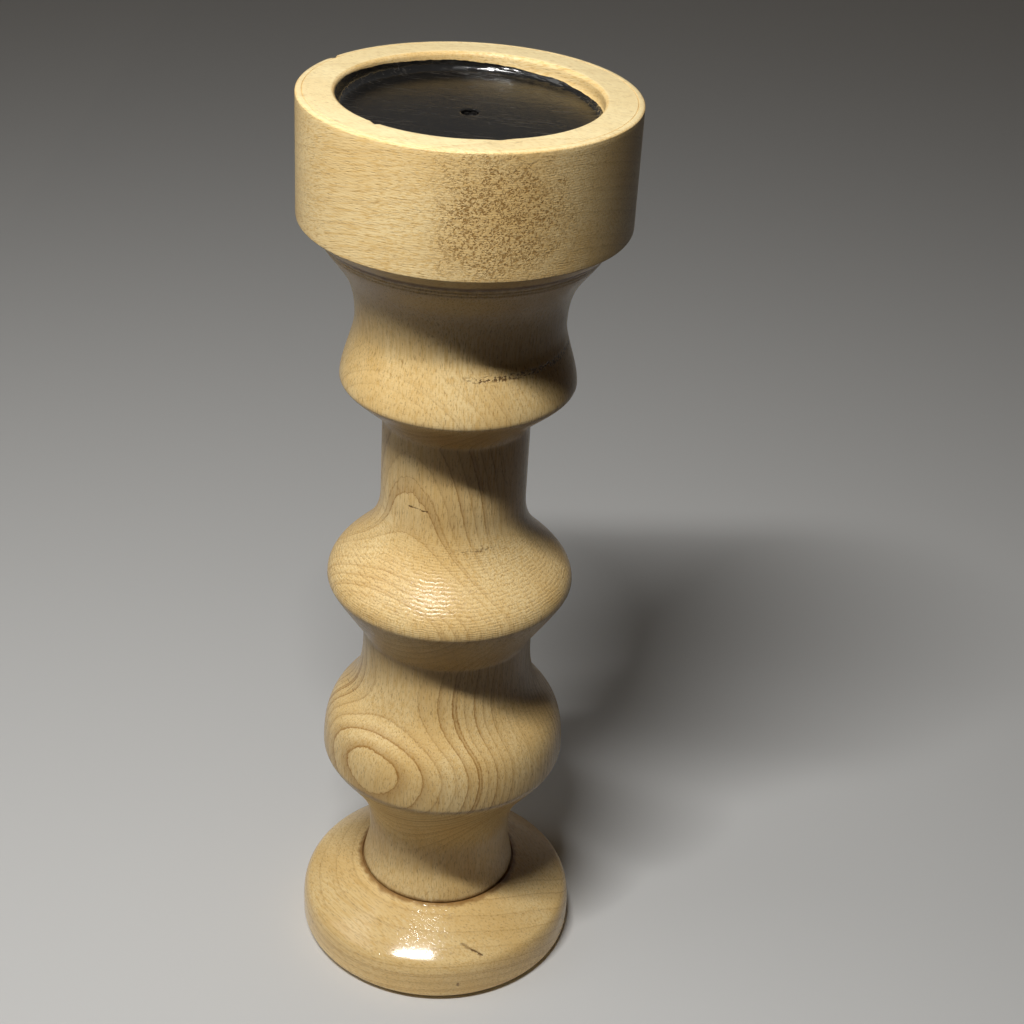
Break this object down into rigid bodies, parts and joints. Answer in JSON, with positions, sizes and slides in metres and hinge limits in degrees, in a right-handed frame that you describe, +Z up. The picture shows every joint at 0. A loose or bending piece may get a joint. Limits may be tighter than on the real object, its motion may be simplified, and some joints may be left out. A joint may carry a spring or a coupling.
{
  "type": "candle holder",
  "caption": "Turned beech pillar-candle holder: a domed round foot, a beaded spindle stem and a wide cup whose shallow black-coated recess takes a standard pillar candle.",
  "frame": {"origin": "middle of the underside, on the surface that the foot stands on", "axes": "+Z up along the turning axis, -Y towards the side seen in the picture"},
  "size_m": [0.0988, 0.0988, 0.305],
  "materials": {
    "beech": "clear satin lacquer over sanded turning",
    "screw_steel": "dull plain steel",
    "recess_coat": "brushed black heat-resistant gloss paint"
  },
  "bodies": {
    "root": {"foot": "beech", "stem": "beech", "cup": "beech", "cup_screw": "screw_steel", "foot_screw": "screw_steel"}
  },
  "joints": []
}
